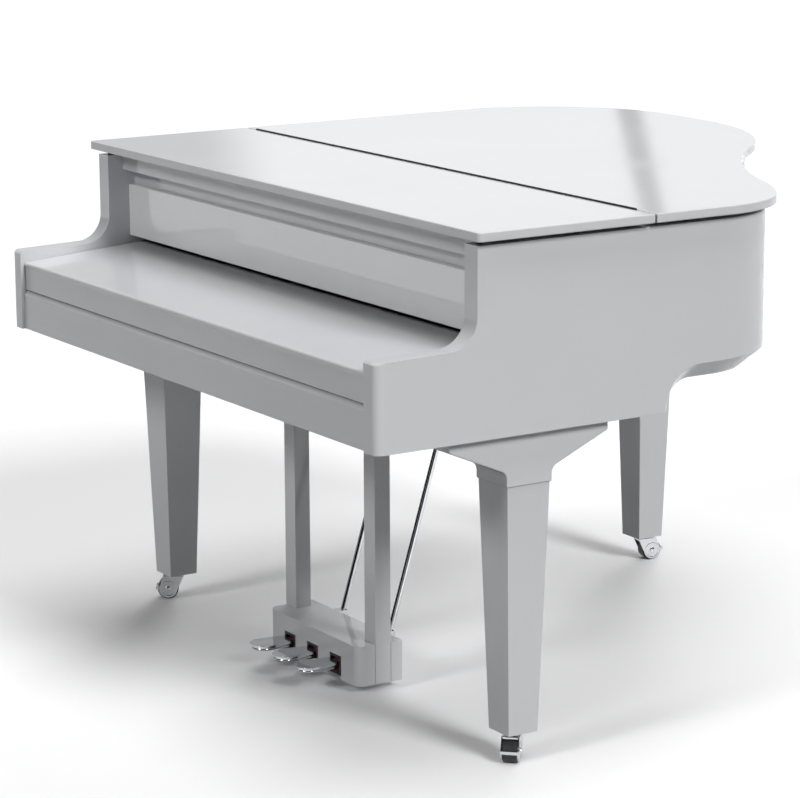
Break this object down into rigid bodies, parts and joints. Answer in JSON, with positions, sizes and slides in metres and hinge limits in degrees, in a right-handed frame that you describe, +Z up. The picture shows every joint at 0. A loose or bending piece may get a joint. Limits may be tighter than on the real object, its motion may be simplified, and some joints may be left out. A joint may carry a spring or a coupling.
{
  "type": "digital grand piano",
  "caption": "White digital grand piano on tapered legs with casters, with a two-part lid, sliding key cover, folding music desk and pedal lyre.",
  "frame": {"origin": "on the floor, under the centre of the plan outline", "axes": "+X to the player's right (treble side), +Y from the keyboard to the tail, +Z up"},
  "size_m": [1.44, 1.456, 0.9868],
  "materials": {
    "white_lacquer": "polished white lacquer",
    "chrome": "polished",
    "steel": "brushed",
    "aluminium": "satin",
    "black_board": "satin black paint",
    "black_metal": "satin",
    "rubber": "matt",
    "wheel_plastic": "satin",
    "red_felt": "felt",
    "black_plastic": "fine grain",
    "circuit_board": "solder mask",
    "white_key": "polished",
    "black_key": "satin"
  },
  "bodies": {
    "case": {"side_right": "white_lacquer", "side_left": "white_lacquer", "rim": "white_lacquer", "keybed": "white_lacquer", "rear_bottom": "white_lacquer", "front_beam": "white_lacquer", "front_panel": "white_lacquer", "key_slip": "white_lacquer", "cheek_left": "white_lacquer", "cheek_right": "white_lacquer", "leg_front_right": "white_lacquer", "leg_front_left": "white_lacquer", "leg_rear": "white_lacquer", "leg_brackets": "white_lacquer", "lyre_box": "white_lacquer", "lyre_posts": "white_lacquer", "spine_hinge_case": "chrome", "prop_bracket": "chrome", "desk_hinge": "chrome", "lyre_struts": "chrome", "pedal_pins": "chrome", "screws": "chrome", "top_deck": "black_board", "key_frame": "steel", "cover_rails": "aluminium", "lid_bumpers": "rubber", "pedal_felts": "red_felt", "woofers": "black_plastic", "tweeters": "black_plastic", "speaker_grilles": "black_metal", "main_board": "circuit_board", "power_unit": "aluminium", "connector_boxes": "black_plastic"},
    "main_lid": {"main_lid": "white_lacquer", "flap_hinge_rear": "black_metal", "spine_hinge_lid": "chrome", "prop_pad": "chrome"},
    "front_lid": {"front_lid": "white_lacquer", "flap_hinge_front": "black_metal"},
    "prop": {"lid_prop": "white_lacquer"},
    "desk": {"music_desk": "white_lacquer"},
    "desk_strut": {"desk_strut": "chrome"},
    "cover": {"key_cover": "white_lacquer"},
    "power_button": {"power_button": "black_plastic"},
    "volume_knob": {"volume_knob": "black_plastic"},
    "white_keys_bass": {"white_keys_bass": "white_key"},
    "black_keys_bass": {"black_keys_bass": "black_key"},
    "white_keys_middle": {"white_keys_middle": "white_key"},
    "black_keys_middle": {"black_keys_middle": "black_key"},
    "white_keys_treble": {"white_keys_treble": "white_key"},
    "black_keys_treble": {"black_keys_treble": "black_key"},
    "pedal_left": {"pedal_left": "chrome"},
    "pedal_middle": {"pedal_middle": "chrome"},
    "pedal_right": {"pedal_right": "chrome"},
    "fork_front_right": {"fork_front_right": "chrome"},
    "wheel_front_right": {"wheel_front_right": "wheel_plastic"},
    "fork_front_left": {"fork_front_left": "chrome"},
    "wheel_front_left": {"wheel_front_left": "wheel_plastic"},
    "fork_rear": {"fork_rear": "chrome"},
    "wheel_rear": {"wheel_rear": "wheel_plastic"}
  },
  "joints": [
    {"name": "main_lid_open", "type": "hinge", "parent": "case", "child": "main_lid", "pos_m": [-0.707, 0.15, 0.9615], "axis": [0, -1, 0], "range_deg": [0, 32]},
    {"name": "front_lid_fold", "type": "hinge", "parent": "main_lid", "child": "front_lid", "pos_m": [0, -0.157, 0.9846], "axis": [-1, 0, 0], "range_deg": [0, 175]},
    {"name": "lid_prop_swing", "type": "hinge", "parent": "case", "child": "prop", "pos_m": [0.095, -0.11, 0.942], "axis": [0, -1, 0], "range_deg": [0, 85]},
    {"name": "music_desk_tilt", "type": "hinge", "parent": "case", "child": "desk", "pos_m": [0, -0.42, 0.936], "axis": [1, 0, 0], "range_deg": [0, 70.1]},
    {"name": "desk_strut_swing", "type": "hinge", "parent": "desk", "child": "desk_strut", "pos_m": [0, -0.32, 0.936], "axis": [-1, 0, 0], "range_deg": [0, 140.1]},
    {"name": "key_cover_slide", "type": "slide", "parent": "case", "child": "cover", "axis": [0, 0.9877, 0.1564], "range_m": [0, 0.155]},
    {"name": "power_button_press", "type": "slide", "parent": "case", "child": "power_button", "axis": [0, 0, -1], "range_m": [0, 0.0015], "stiffness_N_per_m": 300, "springref_m": -0.002},
    {"name": "volume_turn", "type": "hinge", "parent": "case", "child": "volume_knob", "pos_m": [-0.636, -0.63, 0.69], "axis": [0, 0, -1], "range_deg": [0, 270]},
    {"name": "white_keys_bass_press", "type": "hinge", "parent": "case", "child": "white_keys_bass", "pos_m": [0, -0.446, 0.682], "axis": [1, 0, 0], "range_deg": [0, 2.2], "stiffness_Nm_per_rad": 8, "springref_deg": -20.05},
    {"name": "black_keys_bass_press", "type": "hinge", "parent": "case", "child": "black_keys_bass", "pos_m": [0, -0.446, 0.682], "axis": [1, 0, 0], "range_deg": [0, 2.2], "stiffness_Nm_per_rad": 5, "springref_deg": -20.05},
    {"name": "white_keys_middle_press", "type": "hinge", "parent": "case", "child": "white_keys_middle", "pos_m": [0, -0.446, 0.682], "axis": [1, 0, 0], "range_deg": [0, 2.2], "stiffness_Nm_per_rad": 8, "springref_deg": -20.05},
    {"name": "black_keys_middle_press", "type": "hinge", "parent": "case", "child": "black_keys_middle", "pos_m": [0, -0.446, 0.682], "axis": [1, 0, 0], "range_deg": [0, 2.2], "stiffness_Nm_per_rad": 5, "springref_deg": -20.05},
    {"name": "white_keys_treble_press", "type": "hinge", "parent": "case", "child": "white_keys_treble", "pos_m": [0, -0.446, 0.682], "axis": [1, 0, 0], "range_deg": [0, 2.2], "stiffness_Nm_per_rad": 8, "springref_deg": -20.05},
    {"name": "black_keys_treble_press", "type": "hinge", "parent": "case", "child": "black_keys_treble", "pos_m": [0, -0.446, 0.682], "axis": [1, 0, 0], "range_deg": [0, 2.2], "stiffness_Nm_per_rad": 5, "springref_deg": -20.05},
    {"name": "pedal_left_press", "type": "hinge", "parent": "case", "child": "pedal_left", "pos_m": [-0.086, -0.362, 0.048], "axis": [1, 0, 0], "range_deg": [0, 4], "stiffness_Nm_per_rad": 5, "springref_deg": -17.19},
    {"name": "pedal_middle_press", "type": "hinge", "parent": "case", "child": "pedal_middle", "pos_m": [0, -0.362, 0.048], "axis": [1, 0, 0], "range_deg": [0, 4], "stiffness_Nm_per_rad": 5, "springref_deg": -17.19},
    {"name": "pedal_right_press", "type": "hinge", "parent": "case", "child": "pedal_right", "pos_m": [0.086, -0.362, 0.048], "axis": [1, 0, 0], "range_deg": [0, 4], "stiffness_Nm_per_rad": 5, "springref_deg": -17.19},
    {"name": "swivel_front_right", "type": "hinge", "parent": "case", "child": "fork_front_right", "pos_m": [0.631, -0.397, 0.05], "axis": [0, 0, 1], "continuous": true},
    {"name": "roll_front_right", "type": "hinge", "parent": "fork_front_right", "child": "wheel_front_right", "pos_m": [0.64373, -0.40973, 0.022], "axis": [0.7071, 0.7071, 0], "continuous": true},
    {"name": "swivel_front_left", "type": "hinge", "parent": "case", "child": "fork_front_left", "pos_m": [-0.631, -0.397, 0.05], "axis": [0, 0, 1], "continuous": true},
    {"name": "roll_front_left", "type": "hinge", "parent": "fork_front_left", "child": "wheel_front_left", "pos_m": [-0.64054, -0.41226, 0.022], "axis": [0.848, -0.5299, 0], "continuous": true},
    {"name": "swivel_rear", "type": "hinge", "parent": "case", "child": "fork_rear", "pos_m": [-0.326, 0.618, 0.05], "axis": [0, 0, 1], "continuous": true},
    {"name": "roll_rear", "type": "hinge", "parent": "fork_rear", "child": "wheel_rear", "pos_m": [-0.32226, 0.63561, 0.022], "axis": [-0.9781, 0.2079, 0], "continuous": true}
  ],
  "couplings": [
    {"joint": "lid_prop_swing", "follows": "main_lid_open", "ratio": 2.65},
    {"joint": "music_desk_tilt", "follows": "front_lid_fold", "ratio": 0.4},
    {"joint": "desk_strut_swing", "follows": "front_lid_fold", "ratio": 0.8}
  ]
}
